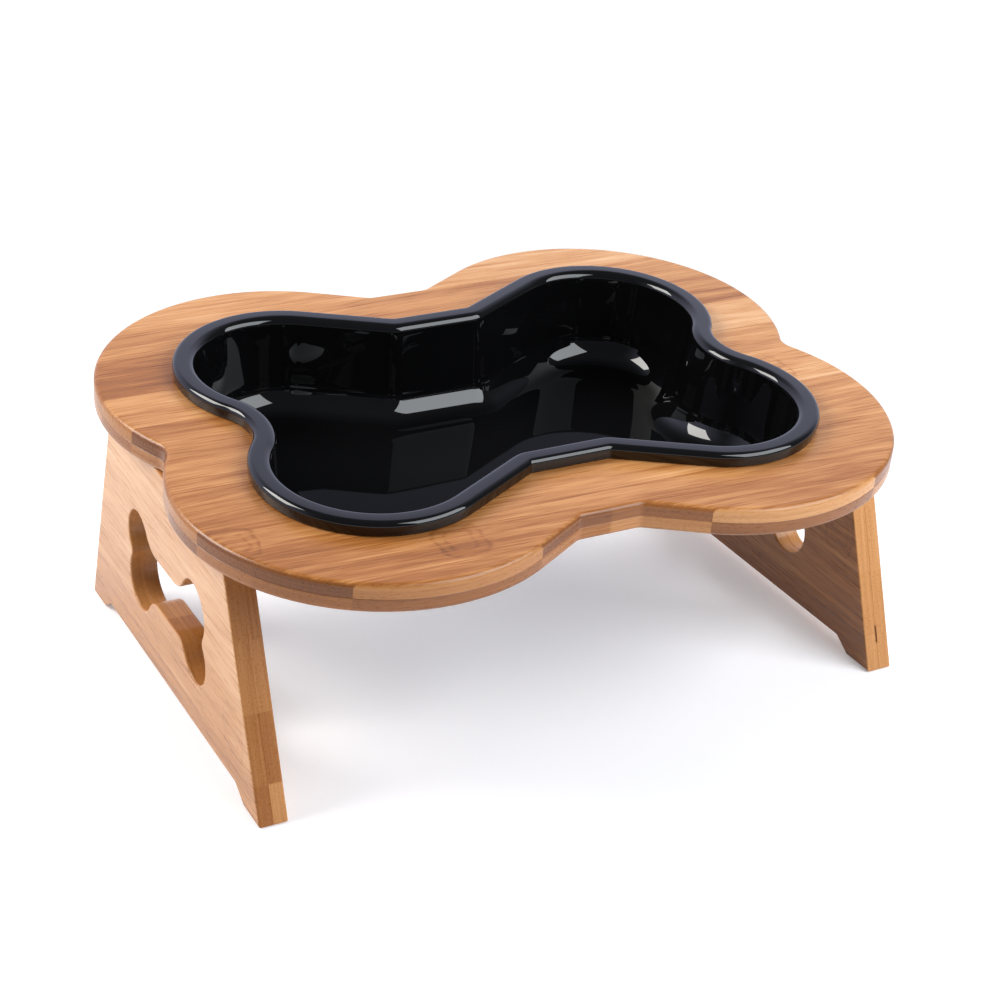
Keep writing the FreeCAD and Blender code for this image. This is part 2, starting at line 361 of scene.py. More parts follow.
def lobed_outline(lobes, part):
    """Points and outward normals of a four-lobed outline, in order, from the notch at +x.

    One half is eight runs: the notch's arc, a lobe, a straight flank, a fillet, the straight waist, a fillet,
    a flank and a lobe. A lobe's normal points away from its middle, and a fillet's or a notch's towards it. A
    flank touches its lobe and its fillet, and has no length where these meet. The other half is the first,
    turned by half a turn. lobes are the settings with the lobes' middles, and part those with the radii.
    """
    lobe_x, lobe_y = lobes.lobe_x, lobes.lobe_y
    radius, waist_fillet, notch_fillet = part.radius, part.waist_fillet, part.notch_fillet
    lobe = np.array([lobe_x, lobe_y])
    waist = lobe_y + radius - part.waist_depth
    notch = np.array([lobe_x + math.sqrt((radius + notch_fillet) ** 2 - lobe_y ** 2), 0.0])
    reach = radius + waist_fillet
    fillet_y = waist + waist_fillet
    touching = lobe_x - math.sqrt(reach ** 2 - (fillet_y - lobe_y) ** 2)
    fillet = np.array([min(touching, part.waist_straight / 2), fillet_y])
    to_notch = math.atan2(notch[1] - lobe[1], notch[0] - lobe[0])
    to_fillet = math.atan2(fillet[1] - lobe[1], fillet[0] - lobe[0])
    turn = to_fillet - math.acos(min(1.0, reach / np.linalg.norm(fillet - lobe)))
    flip = np.array([-1.0, 1.0])
    leaving = np.array([math.cos(turn), math.sin(turn)])
    flank = lobe + radius * leaving, fillet - waist_fillet * leaving
    foot = np.array([fillet[0], waist])
    flank_points = FLANK_POINTS if np.linalg.norm(flank[1] - flank[0]) > 1e-6 else 0
    runs = [
        arc(notch, notch_fillet, math.pi - to_notch, math.pi + to_notch, NOTCH_POINTS, -1),
        arc(lobe, radius, to_notch, turn, LOBE_POINTS, 1),
        line(*flank, leaving, flank_points),
        arc(fillet, waist_fillet, turn + math.pi, 1.5 * math.pi, FILLET_POINTS, -1),
        line(foot, foot * flip, np.array([0.0, 1.0]), FILLET_POINTS),
        arc(fillet * flip, waist_fillet, -math.pi / 2, -turn, FILLET_POINTS, -1),
        line(flank[1] * flip, flank[0] * flip, leaving * flip, flank_points),
        arc(lobe * flip, radius, math.pi - turn, math.pi - to_notch, LOBE_POINTS, 1),
    ]
    points, normals = (np.concatenate(part) for part in zip(*runs))
    return np.concatenate([points, -points]), np.concatenate([normals, -normals])


def at_level(points, level):
    """Loop of points in the flat frame at a level: (n, 2) to (n, 3)."""
    return np.concatenate([points, np.full((len(points), 1), level)], axis=1)


def quarter(count):
    """Rows of (1 - cos t, sin t) over a quarter turn: how far in, and how far up, on an edge of radius 1."""
    t = np.linspace(0.0, math.pi / 2, count)
    return np.stack([1 - np.cos(t), np.sin(t)], axis=1)


def round_corner(inset, level, radius, lean, count, up=1):
    """Profile of a rounded corner between a flat at a level and a wall that leans out by lean going up.

    The arc's centre lies radius over the flat, and radius from the wall. An arc's point is centre plus r
    times (sin t, -cos t), from straight down, t = 0, to the wall's normal, t = pi/2 - lean. Insets fall
    outwards. With up = -1 the wall goes down from the flat, and the arc is the same, turned by half a turn.
    """
    reach = radius * math.tan((math.pi / 2 - lean) / 2)
    t = np.linspace(0.0, math.pi / 2 - lean, count)
    return [(inset + up * (reach - radius * math.sin(a)), level + up * radius * (1 - math.cos(a))) for a in t]


def plate_loops(outer, outer_in, inner, inner_out, glue, face, radius, spans):
    """Closed stack of loops of a flat plate with an opening, and how far each loop belongs to its sides.

    The loops go up the outer side, round its edge with (r (1 - cos t), r sin t), across the face on straight
    lines from the outer to the inner outline, round the opening's edge, down its side and back across the
    glue face. outer_in and inner_out are the directions in which each outline draws back into the plate.
    """
    up = 1.0 if face > glue else -1.0
    edge = quarter(EDGE_LOOPS) * radius
    support = radius * SUPPORT
    sides = [(GLUE_CHAMFER, glue), (0.0, glue + up * GLUE_CHAMFER)]
    sides += [(d, face - up * (radius - h)) for d, h in edge]
    loops = [at_level(outer + d * outer_in, level) for d, level in sides]
    marks = [1.0] * 2 + list(np.linspace(1.0, 0.0, len(edge)))
    rim = outer + support * outer_in
    hole = inner + support * inner_out
    loops += [at_level(rim + (hole - rim) * share, face) for share in np.linspace(0.0, 1.0, spans)]
    marks += [0.0] * spans
    loops += [at_level(inner + d * inner_out, level) for d, level in reversed(sides)]
    marks += list(np.linspace(0.0, 1.0, len(edge))) + [1.0] * 2
    return np.array(loops), np.array(marks)


def grid_faces(rows, columns, closed):
    """Quads between neighbouring loops of a stack. Every loop is closed, and so is the stack if asked."""
    i, j = np.meshgrid(np.arange(rows if closed else rows - 1), np.arange(columns), indexing="ij")
    up, along = (i + 1) % rows, (j + 1) % columns
    quads = np.stack([i * columns + j, i * columns + along, up * columns + along, up * columns + j], axis=-1)
    return quads.reshape(-1, 4).tolist()


def fan_faces(start, columns, centre):
    """Triangles between one loop and the single point that closes it."""
    j = np.arange(columns)
    return np.stack([start + j, start + (j + 1) % columns, np.full_like(j, centre)], axis=-1).tolist()


def capped_faces(rows, columns):
    """Faces of an open stack whose first and last loops are closed by the two points that follow it."""
    count = rows * columns
    ends = fan_faces(0, columns, count) + fan_faces(count - columns, columns, count + 1)
    return grid_faces(rows, columns, False) + ends


def add_object(name, data):
    """Object of a mesh, a lamp or a camera in the scene."""
    thing = bpy.data.objects.new(name, data)
    bpy.context.scene.collection.objects.link(thing)
    return thing


def add_mesh(name, vertices, faces, body, replaced, material, marks=None):
    """Mesh at the origin with its faces turned outwards, that rides on a body and stands for CAD nodes."""
    mesh = bpy.data.meshes.new(name)
    mesh.from_pydata(vertices.tolist(), [], faces)
    if marks is not None:
        mesh.attributes.new("side", "FLOAT", "POINT").data.foreach_set("value", marks.astype(np.float32))
    bm = bmesh.new()
    bm.from_mesh(mesh)
    bmesh.ops.recalc_face_normals(bm, faces=bm.faces)
    bm.to_mesh(mesh)
    bm.free()
    mesh.shade_smooth()
    mesh.set_sharp_from_angle(angle=SHARP_EDGE)
    mesh.materials.append(material)
    piece = add_object(name, mesh)
    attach(piece, body)
    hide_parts(*replaced)


def on_board(points):
    """Points of the board's own frame, level 0 at its upper face, moved to their place over the floor.

    They go up by a ply, turn about X by the board's tilt and go up to the board's middle.
    """
    ply = settings().board.ply
    x, y, z = points[..., 0], points[..., 1], points[..., 2] + ply
    cos, sin = math.cos(TILT), math.sin(TILT)
    return np.stack([x, y * cos - z * sin, y * sin + z * cos + BOARD_MIDDLE], axis=-1)


# Shader nodes as expressions


def maths_operator(operation, reflected=False):
    """Method for an operator of Socket: a Math node, with its values swapped in the reflected form."""
    def method(self, other):
        """Output of the Math node for two values."""
        values = (other, self) if reflected else (self, other)
        return self.shader.maths(operation, *values)
    return method


class Socket:
    """A node's output. Operators between sockets or with numbers add Math nodes and give their outputs."""

    __add__ = maths_operator("ADD")
    __radd__ = maths_operator("ADD", reflected=True)
    __sub__ = maths_operator("SUBTRACT")
    __rsub__ = maths_operator("SUBTRACT", reflected=True)
    __mul__ = maths_operator("MULTIPLY")
    __rmul__ = maths_operator("MULTIPLY", reflected=True)
    __truediv__ = maths_operator("DIVIDE")

    def __init__(self, shader, output):
        self.shader = shader
        self.output = output

    def distance_to(self, value):
        """How far the value is from another, never negative."""
        return self.shader.maths("ABSOLUTE", self - value)

    def power(self, exponent):
        """The value without its sign, raised to an exponent."""
        return self.shader.maths("POWER", self.shader.maths("ABSOLUTE", self), exponent)

    def step(self, low, high):
        """0 below low, 1 above high, and a smooth rise between them. Falls if low is above high."""
        return self.shader.node("ShaderNodeMapRange", {"interpolation_type": "SMOOTHSTEP", "clamp": True},
                                {"Value": self, "From Min": low, "From Max": high})

    def ramp(self, stops, interpolation="LINEAR"):
        """Colour ramp of (place, colour) stops."""
        return self.shader.node("ShaderNodeValToRGB", {"interpolation": interpolation, "stops": stops},
                                {"Fac": self})


class Shader:
    """A node tree whose nodes are added by expressions."""

    def __init__(self, owner):
        owner.use_nodes = True
        self.owner = owner
        self.tree = owner.node_tree

    @classmethod
    def of_material(cls, name):
        """The tree of a new material."""
        return cls(bpy.data.materials.new(name))

    def node(self, kind, options=None, values=None, output=0):
        """New node: options are its own settings, values its sockets' links or numbers. Gives one output."""
        node = self.tree.nodes.new(kind)
        for key, option in (options or {}).items():
            if key == "stops":
                self.set_stops(node.color_ramp, option)
            elif key == "interpolation":
                node.color_ramp.interpolation = option
            else:
                setattr(node, key, option)
        for key, value in (values or {}).items():
            self.feed(node.inputs[key], value)
        return Socket(self, node.outputs[output])

    def set_stops(self, ramp, stops):
        """Gives a colour ramp its (place, colour) stops."""
        for _ in range(len(stops) - len(ramp.elements)):
            ramp.elements.new(1.0)
        for element, (place, rgb) in zip(ramp.elements, stops):
            element.position = place
            element.color = (*rgb, 1.0)

    def feed(self, socket, value):
        """Links a socket's input to an output, or sets it to a number or colour."""
        if isinstance(value, Socket):
            self.tree.links.new(value.output, socket)
        else:
            socket.default_value = value

    def maths(self, operation, *values):
        """Output of a Math node."""
        return self.node("ShaderNodeMath", {"operation": operation}, dict(enumerate(values)))

    def vector(self, x, y, z):
        """Vector of three values."""
        return self.node("ShaderNodeCombineXYZ", None, {"X": x, "Y": y, "Z": z})

    def split(self, vector):
        """The three parts of a vector."""
        node = self.tree.nodes.new("ShaderNodeSeparateXYZ")
        self.feed(node.inputs[0], vector)
        return [Socket(self, out) for out in node.outputs]

    def noise(self, vector, scale, detail=2.0, roughness=0.5):
        """Smooth noise about 0.5 at a place."""
        return self.node("ShaderNodeTexNoise", None, {"Vector": vector, "Scale": scale, "Detail": detail,
                                                      "Roughness": roughness})

    def mix(self, share, first, second):
        """Colour between first and second."""
        return self.node("ShaderNodeMix", {"data_type": "RGBA"}, {0: share, 6: first, 7: second}, output=2)

    def object_axes(self, location=(0, 0, 0), rotation=(0, 0, 0)):
        """X, Y and Z of the object's own coordinates, turned and then moved."""
        place = self.node("ShaderNodeTexCoord", output="Object")
        moved = self.node("ShaderNodeMapping", None,
                          {"Vector": place, "Location": location, "Rotation": rotation})
        return self.split(moved)

    def board_axes(self):
        """X, Y and Z in the board's own frame, from the middle between its plies."""
        location = Matrix.Rotation(-TILT, 3, "X") @ Vector((0, 0, -BOARD_MIDDLE))
        return self.object_axes(location, (-TILT, 0, 0))

    def seen(self, first, *others):
        """1 for rays of the named kinds, such as Camera, and 0 for all other rays."""
        ray = self.node("ShaderNodeLightPath", output=f"Is {first} Ray")
        for kind in others:
            ray = self.maths("MAXIMUM", ray, self.node("ShaderNodeLightPath", output=f"Is {kind} Ray"))
        return ray

    def bump(self, height, strength, distance):
        """Normal of a surface with a height in units of distance."""
        return self.node("ShaderNodeBump", None,
                         {"Height": height, "Strength": strength, "Distance": distance})

    def finish(self, **values):
        """Feeds the surface shader's sockets, named with _ for a space, and gives the material."""
        surface = self.tree.nodes["Principled BSDF"]
        for key, value in values.items():
            self.feed(surface.inputs[key.replace("_", " ")], value)
        return self.owner


# Finishes


def grey(value):
    """A grey as a colour."""
    return (value, value, value)


def darker(rgb, share):
    """A share of a colour."""
    return tuple(share * c for c in rgb)


def by_strip(strip, values, low=0.0, high=1.0):
    """The value of each strip, as a ramp of even steps. Values lie between low and high."""
    count = len(values)
    stops = [(k / count, grey((value - low) / (high - low))) for k, value in enumerate(values)]
    return ((strip + 0.5) / count).ramp(stops, "CONSTANT") * (high - low) + low


def knuckle(shader, along, across, within, position):
    """How dark a strip's knuckle is: two rounded frames about its place on the strip, and mottling inside.

    The frames are where q is 1 and 0.6. q is the root of the summed powers of the ways along and across,
    each over its half.
    """
    half_along, half_across = KNUCKLE_HALVES
    waves, depth = KNUCKLE_WOBBLE
    wobble = (shader.noise(shader.vector(along, across, 0.0), waves, 2.0) - 0.5) * depth
    way_along = ((along - position) / half_along + wobble).power(KNUCKLE_POWER)
    way_across = (within / half_across + wobble).power(KNUCKLE_POWER)
    q = (way_along + way_across).power(1 / KNUCKLE_POWER)
    frames = q.distance_to(1.0).step(0.14, 0.0) + q.distance_to(0.6).step(0.12, 0.0) * 0.7
    patchy = shader.noise(shader.vector(along * 120.0, across * 500.0, 0.0), 1.0, 2.0)
    inside = q.step(1.05, 0.9)
    return frames * patchy.step(0.30, 0.62) + inside * (patchy - 0.35)


def slit_shade(along, across, through, glue, low, high):
    """Painted shade of a slit where the glue line has opened on a leg's front edge, from low to high. The gap
    has no depth in the mesh, so its shade is drawn in the tone.
    """
    middle, half = (low + high) / 2, (high - low) / 2
    near = through.distance_to(glue).step(*SLIT_WIDTH)
    return near * across.distance_to(middle).step(half, half * 0.6) * along.step(*SLIT_FRONT)


def bamboo(name, axes, start):
    """Material of a ply of bamboo strips glued side by side.

    axes are the ways along the grain, across the strips and through the ply, in metres. A strip has its own
    tone, slant and shift, on the faces and on the sides. On the faces broad streaks, fine streaks, short
    fibres and pores follow the grain, all noises drawn out along it. The sides show lines along the ply.
    """
    s, (along, across, through) = axes[0].shader, axes
    f, look, depth = settings().finish, BAMBOO_LOOKS[name], TONE_DEPTHS
    seed = look["seed"]
    place = (across - start) / f.strip_width
    strip = s.maths("FLOOR", place)
    within = (s.maths("FRACT", place) - 0.5) * f.strip_width
    draw = s.node("ShaderNodeTexWhiteNoise", {"noise_dimensions": "1D"}, {"W": strip + seed + 0.5},
                  output="Value")
    shift = draw * STRIP_SHIFT + seed
    slanted = across + along * (draw - 0.5) * STRIP_SLANT

    def drawn_out(kind):
        """Noise along the strip's own grain."""
        lengthways, crossways, detail, roughness = GRAIN_NOISES[kind]
        spot = s.vector(along * lengthways + shift, slanted * crossways, through * crossways + shift)
        return s.noise(spot, 1.0, detail, roughness)

    broad, streak, fibre, pore = (drawn_out(kind) for kind in GRAIN_NOISES)
    line_along, line_across, line_through = SIDE_LINE_WAVES
    line_spot = s.vector(along * line_along + shift, across * line_across, through * line_through + shift)
    side_line = s.noise(line_spot, 1.0, 3.0, 0.6)
    seam = within.distance_to(0.0).step(f.strip_width / 2 - SEAM_WIDTH, f.strip_width / 2)
    knuckles = [look["knuckles"].get(k, KNUCKLE_RANGE) for k in range(len(look["face"]))]
    knot = knuckle(s, along, across, within, by_strip(strip, knuckles, -KNUCKLE_RANGE, KNUCKLE_RANGE))
    grain = (broad - 0.5) * depth["broad"] + (streak - 0.5) * depth["streak"]
    grain = grain + (fibre - 0.5) * depth["fibre"]
    marks = pore.step(0.56, 0.74) * depth["pore"] + seam * broad.step(0.35, 0.6) * depth["seam"]
    marks = marks + knot * depth["knuckle"]
    face = by_strip(strip, look["face"]) + along * look.get("drift", 0.0) + grain - marks
    right = along.step(-0.001, 0.001)
    edge = by_strip(strip, look["side_left"]) * (1 - right) + by_strip(strip, look["side_right"]) * right
    edge = edge + (side_line - 0.5) * depth["side_line"] + (fibre - 0.5) * depth["side_fibre"]
    side = s.node("ShaderNodeAttribute", {"attribute_name": "side"}, output="Fac").step(0.3, 0.7)
    tone = face * (1 - side) + edge * side
    # Painted shade of the opened glue line's slit
    if "slit" in look:
        tone = tone - slit_shade(along, across, through, *look["slit"]) * depth["slit"]
    colours = (f.bamboo_dark, f.bamboo_brown, f.bamboo_middle, f.bamboo_light)
    wood = tone.ramp(list(zip(TONE_STOPS, colours)))
    return s.finish(Base_Color=wood, Roughness=0.22 + fibre * 0.14, IOR=1.45,
                    Normal=s.bump(streak * 0.5 + fibre, 0.14, 0.0003))


def board_bamboo(node):
    """Bamboo of a board ply, with the grain along X, in the board's own frame."""
    return bamboo(node, Shader.of_material(f"bamboo_{node}").board_axes(), BOARD_STRIP_START)


def leg_bamboo(node):
    """Bamboo of a leg ply, with the grain along Y."""
    through, along, across = Shader.of_material(f"bamboo_{node}").object_axes()
    return bamboo(node, (along, across, through), LEG_STRIP_START)


def black_glaze():
    """Black body under a clear gloss, cut on the floor as painted shade in its reflection, and a dry matt
    foot under the base.
    """
    shader = Shader.of_material("black_glaze")
    f, w = settings().finish, settings().bowl
    x, y, z = shader.board_axes()
    place = shader.vector(x, y, z)
    floor = settings().board.ply - w.depth
    underside = floor - w.base
    foot = z.step(*(underside + height for height in DRY_FOOT))
    # Painted shade: the floor's gloss is cut so that it mirrors less, for the dark that a deeper bowl would
    # give.
    shaded_floor = z.step(*(floor + height for height in SHADED_FLOOR_HEIGHTS)) * (1 - foot)
    ripple = shader.noise(place, 38.0, 1.0)
    cloud = shader.noise(place, 16.0, 3.0)
    grit = shader.noise(place, 1400.0, 2.0)
    glaze = cloud.ramp([(0.3, darker(f.glaze, 0.7)), (0.7, f.glaze)])
    dry = grit.ramp([(0.3, darker(f.bisque, 0.7)), (0.7, f.bisque)])
    return shader.finish(Base_Color=shader.mix(foot, glaze, dry), IOR=1.10,
                         Coat_IOR=1.50, Coat_Roughness=0.025,
                         Coat_Weight=(1 - foot) * (1 - shaded_floor * SHADE_GLOSS_CUT),
                         Roughness=0.02 + cloud * 0.02 + foot * 0.6,
                         Normal=shader.bump(ripple + grit * foot * 0.2, 0.10, 0.0006))


def foot_rubber():
    """Matt black rubber with fine specks."""
    shader = Shader.of_material("foot_rubber")
    speck = shader.noise(shader.vector(*shader.object_axes()), 900.0, 3.0)
    tint = speck.ramp([(0.3, grey(0.014)), (0.8, settings().finish.rubber)])
    return shader.finish(Base_Color=tint, Roughness=0.7 + speck * 0.2, Specular_IOR_Level=0.2,
                         Normal=shader.bump(speck, 0.3, 0.0001))


def dowel_beech():
    """Pale beech with flecks along the dowels."""
    shader = Shader.of_material("dowel_beech")
    beech = settings().finish.beech
    x, y, z = shader.object_axes()
    fleck = shader.noise(shader.vector(x * 900.0, y * 900.0, z * 60.0), 1.0, 3.0)
    tint = fleck.ramp([(0.25, darker(beech, 0.55)), (0.75, beech)])
    return shader.finish(Base_Color=tint, Roughness=0.7, Normal=shader.bump(fleck, 0.2, 0.0001))


# Bowl and board


def wall_inset(level, outside):
    """How far the bowl's inner or outer wall lies in from the rim's outline, at a level over the board."""
    w = settings().bowl
    slope = w.draft / (w.rim_height + w.depth)
    inner = w.rim_width + slope * (w.rim_height - level)
    return inner - w.wall * math.hypot(1, slope) if outside else inner


def bowl_profile():
    """(inset, level) of each loop of the bowl: from the base up its outside, over the rim and down inside."""
    w, count = settings().bowl, BOWL_LOOPS
    floor, base = -w.depth, -w.depth - w.base
    lean = math.atan(w.draft / (w.rim_height + w.depth))
    drop, out = SEAT_FILLET
    edge = quarter(count["rim"])
    profile = round_corner(wall_inset(base, True), base, w.floor_round, lean, count["base_corner"])
    levels = np.linspace(profile[-1][1], -drop, count["outside"])[1:]
    profile += [(wall_inset(level, True), level) for level in levels]
    profile += [(wall_inset(0.0, True) - out, 0.0)]
    profile += [(w.seat_round * (1 - h), w.seat_round * d) for d, h in edge[::4]]
    profile += [(w.rim_outer_round * d, w.rim_height - w.rim_outer_round * (1 - h)) for d, h in edge]
    profile += round_corner(w.rim_width, w.rim_height, w.rim_inner_round, lean, count["mouth"], -1)
    corner = round_corner(wall_inset(floor, False), floor, w.floor_round, lean, count["floor_corner"])[::-1]
    levels = np.linspace(profile[-1][1], corner[0][1], count["inside"])[1:-1]
    return profile + [(wall_inset(level, False), level) for level in levels] + corner


class FEEDER_OT_bowl(bpy.types.Operator):
    """Add the glazed bowl"""
    bl_idname = "feeder.bowl"
    bl_label = "Glazed bowl"

    def execute(self, context):
        """Loops along the profile, then smaller and smaller ones on the base and the floor."""
        outline, normals = lobed_outline(settings().board, settings().bowl)
        loops = [at_level(outline - inset * normals, level) for inset, level in bowl_profile()]
        shrink = np.linspace(1.0, 0.0, BOWL_LOOPS["flat"])[1:-1]
        below = [loops[0] * (s, s, 1.0) for s in shrink[::-1]]
        above = [loops[-1] * (s, s, 1.0) for s in shrink]
        stack = np.array(below + loops + above)
        poles = np.array([[0.0, 0.0, loop[0, 2]] for loop in (loops[0], loops[-1])])
        vertices = on_board(np.concatenate([stack.reshape(-1, 3), poles]))
        faces = capped_faces(*stack.shape[:2])
        add_mesh("glazed_bowl", vertices, faces, "bowl", ["ceramic_bowl"], black_glaze())
        return {"FINISHED"}


class FEEDER_OT_board(bpy.types.Operator):
    """Add the two plies of the board"""
    bl_idname = "feeder.board"
    bl_label = "Bamboo board"

    def execute(self, context):
        """Each ply is a plate from its glue face to its outer face, with the opening for the bowl."""
        b = settings().board
        outer, outer_normals = lobed_outline(b, b)
        rim, rim_normals = lobed_outline(b, settings().bowl)
        opening = rim - (wall_inset(0.0, True) - b.opening_gap) * rim_normals
        for node, face in zip(BOARD_PLIES, (0.0, -2 * b.ply)):
            loops, marks = plate_loops(outer, -outer_normals, opening, rim_normals, -b.ply, face,
                                       b.edge_round, BOARD_SPANS)
            rows, columns = loops.shape[:2]
            vertices = on_board(loops.reshape(-1, 3))
            add_mesh(f"bamboo_{node}", vertices, grid_faces(rows, columns, True), "stand",
                     [node], board_bamboo(node), np.repeat(marks, columns))
        return {"FINISHED"}


# Legs


def corner_arc(before, corner, after, radius, count):
    """Points of a rounded corner between two straight runs.

    The arc touches both runs. With a and b from its centre to its ends, and w the angle between them, its
    points are centre + (sin((1 - t) w) a + sin(t w) b) / sin w.
    """
    back = (before - corner) / np.linalg.norm(before - corner)
    on = (after - corner) / np.linalg.norm(after - corner)
    half = math.acos(np.clip(back @ on, -1, 1)) / 2
    centre = corner + (back + on) / np.linalg.norm(back + on) * radius / math.sin(half)
    a = corner + back * radius / math.tan(half) - centre
    b = corner + on * radius / math.tan(half) - centre
    w = math.acos(np.clip(a @ b / radius ** 2, -1, 1))
    t = np.linspace(0.0, 1.0, count)[:, None]
    return centre + (np.sin((1 - t) * w) * a + np.sin(t * w) * b) / math.sin(w)


def leg_corners():
    """Corners of a leg's sheet in (y, z) from its middle, anticlockwise from the rear foot, and stations.

    A station is the angle about the hand-hold, in degrees, at which that corner faces the hold's outline.
    """
    g = settings().leg
    foot_z = LEG_LOW.z
    lean = math.tan(g.lean)
    slope = math.tan(TILT)
    heel = FOOT_HALF - g.foot_length
    step = heel - g.arch_step
    arch = foot_z + g.arch_height
    underside = BOARD_MIDDLE - settings().board.ply / math.cos(TILT) + slope * LEG_CENTRE_Y

    def top(side):
        """Where the leg's leaning side meets the board's underside."""
        rise = side * slope
        z = (underside + rise * (FOOT_HALF + lean * foot_z)) / (1 + rise * lean)
        return np.array([side * (FOOT_HALF - lean * (z - foot_z)), z])

    points = {side: [np.array([side * y, z]) for y, z in ((step, arch), (heel, foot_z), (FOOT_HALF, foot_z))]
              for side in (-1, 1)}
    arcs = {side: corner_arc(points[-side][0], points[side][0], points[side][1], g.arch_round, ARCH_POINTS)
            for side in (-1, 1)}
    corners = [*arcs[1], *points[1][1:], top(1), top(-1), *points[-1][:0:-1], *arcs[-1][::-1]]
    stations = [*np.linspace(-29, -25, ARCH_POINTS), -20, -13, 25,
                155, 193, 200, *np.linspace(205, 209, ARCH_POINTS)]
    return np.array(corners), np.array(stations)


def sheet_outline(corners, stations, hold):
    """Points of a polygon that face the hold's outline, and the directions that draw each side in alike.

    Each corner takes the hold point at its station, and points between corners are spread evenly on the side.
    At a corner the direction is (n1 + n2) / (1 + n1.n2) of the inward normals, and on a side it goes evenly
    from one corner's to the next one's.
    """
    angles = np.unwrap(np.arctan2(hold[:, 1], hold[:, 0]))
    wanted = np.radians(stations)
    turns = wanted + 2 * math.pi * np.ceil((angles[0] - wanted) / (2 * math.pi))
    ring = np.append(angles, angles[0] + 2 * math.pi)
    index = np.round(np.interp(turns, ring, np.arange(len(ring)))).astype(int) % len(angles)
    order = np.argsort(index)
    index, corners = index[order], corners[order]
    ends = np.roll(corners, -1, axis=0)
    gaps = np.diff(np.append(index, index[0] + len(angles)))
    along = (ends - corners) / np.linalg.norm(ends - corners, axis=1, keepdims=True)
    normals = np.stack([-along[:, 1], along[:, 0]], axis=1)
    share = np.concatenate([np.arange(g) / g for g in gaps])[:, None]
    sides = np.repeat(np.arange(len(gaps)), gaps)
    points = corners[sides] + (ends - corners)[sides] * share
    before = np.roll(normals, 1, axis=0)
    mitres = (before + normals) / (1 + np.sum(before * normals, axis=1, keepdims=True))
    inward = mitres[sides] + (np.roll(mitres, -1, axis=0) - mitres)[sides] * share
    return np.roll(points, index[0], axis=0), np.roll(inward, index[0], axis=0)


class FEEDER_OT_legs(bpy.types.Operator):
    """Add the two plies of each leg"""
    bl_idname = "feeder.legs"
    bl_label = "Bamboo legs"

    def execute(self, context):
        """Each ply is a plate round the hand-hold, and the left leg is the right one mirrored in X."""
        g, h = settings().leg, settings().hold
        hold, hold_normals = lobed_outline(h, h)
        corners, stations = leg_corners()
        outer, outer_in = sheet_outline(corners - (0.0, h.height), stations, hold)
        middle = LEG_OUTSIDE - LEG_PLY
        for hand, side in (("left", -1), ("right", 1)):
            for ply, face in (("outer", LEG_OUTSIDE), ("inner", middle - LEG_PLY)):
                node = f"{hand}_leg_{ply}_ply"
                loops, marks = plate_loops(outer, outer_in, hold, hold_normals, middle, face, g.edge_round,
                                           LEG_SPANS)
                rows, columns = loops.shape[:2]
                y, z, x = loops.reshape(-1, 3).T
                vertices = np.stack([side * x, y + LEG_CENTRE_Y, z + h.height], axis=-1)
                add_mesh(f"bamboo_{node}", vertices, grid_faces(rows, columns, True), "stand",
                         [node], leg_bamboo(node), np.repeat(marks, columns))
        return {"FINISHED"}


# Pads and dowels


class FEEDER_OT_small_parts(bpy.types.Operator):
    """Add the foot pads and finish the hidden dowels"""
    bl_idname = "feeder.small_parts"
    bl_label = "Foot pads and dowels"

    def execute(self, context):
        """A pad is a disc, its lower edge rounded by (e sin t, e (1 - cos t)). Dowels keep their meshes."""
        rubber, beech = foot_rubber(), dowel_beech()
        turn = np.linspace(0.0, 2 * math.pi, PAD_POINTS, endpoint=False)
        circle = np.stack([np.cos(turn), np.sin(turn)], axis=1)
        for node in [n for n in frame["nodes"] if n.endswith("foot_pad")]:
            low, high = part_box(node)
            radius, edge = (high.x - low.x) / 2, (high.z - low.z) / PAD_HEIGHT
            profile = [(radius - edge + edge * math.sin(t), low.z + edge * (1 - math.cos(t)))
                       for t in np.linspace(0.0, math.pi / 2, PAD_LOOPS)]
            loops = np.array([at_level(circle * r, z) for r, z in [*profile, (radius, high.z)]])
            poles = np.array([[0, 0, low.z], [0, 0, high.z]])
            middle = np.array([(low.x + high.x) / 2, (low.y + high.y) / 2, 0.0])
            vertices = np.concatenate([loops.reshape(-1, 3), poles]) + middle
            faces = capped_faces(*loops.shape[:2])
            add_mesh(f"rubber_{node}", vertices, faces, "stand", [node], rubber)
        for node in [n for n in frame["nodes"] if n.endswith("dowels")]:
            mesh = frame["nodes"][node].data
            mesh.materials.clear()
            mesh.materials.append(beech)
        return {"FINISHED"}


# Stage


def add_camera(t):
    """Camera turned by azimuth and elevation, then rolled about its own axis, at its place."""
    a, e = t.azimuth, t.elevation
    back = Vector((math.sin(a) * math.cos(e), -math.cos(a) * math.cos(e), math.sin(e)))
    level = Vector((math.cos(a), math.sin(a), 0.0))
    rise = back.cross(level)
    right = math.cos(t.roll) * level + math.sin(t.roll) * rise
    up = -math.sin(t.roll) * level + math.cos(t.roll) * rise
    turn = Matrix((right, up, back)).transposed().to_4x4()
    camera = add_object("camera", bpy.data.cameras.new("camera"))
    camera.data.lens = t.lens
    camera.data.clip_start = 0.01
    camera.matrix_world = Matrix.Translation(Vector(t.eye)) @ turn
    bpy.context.scene.camera = camera


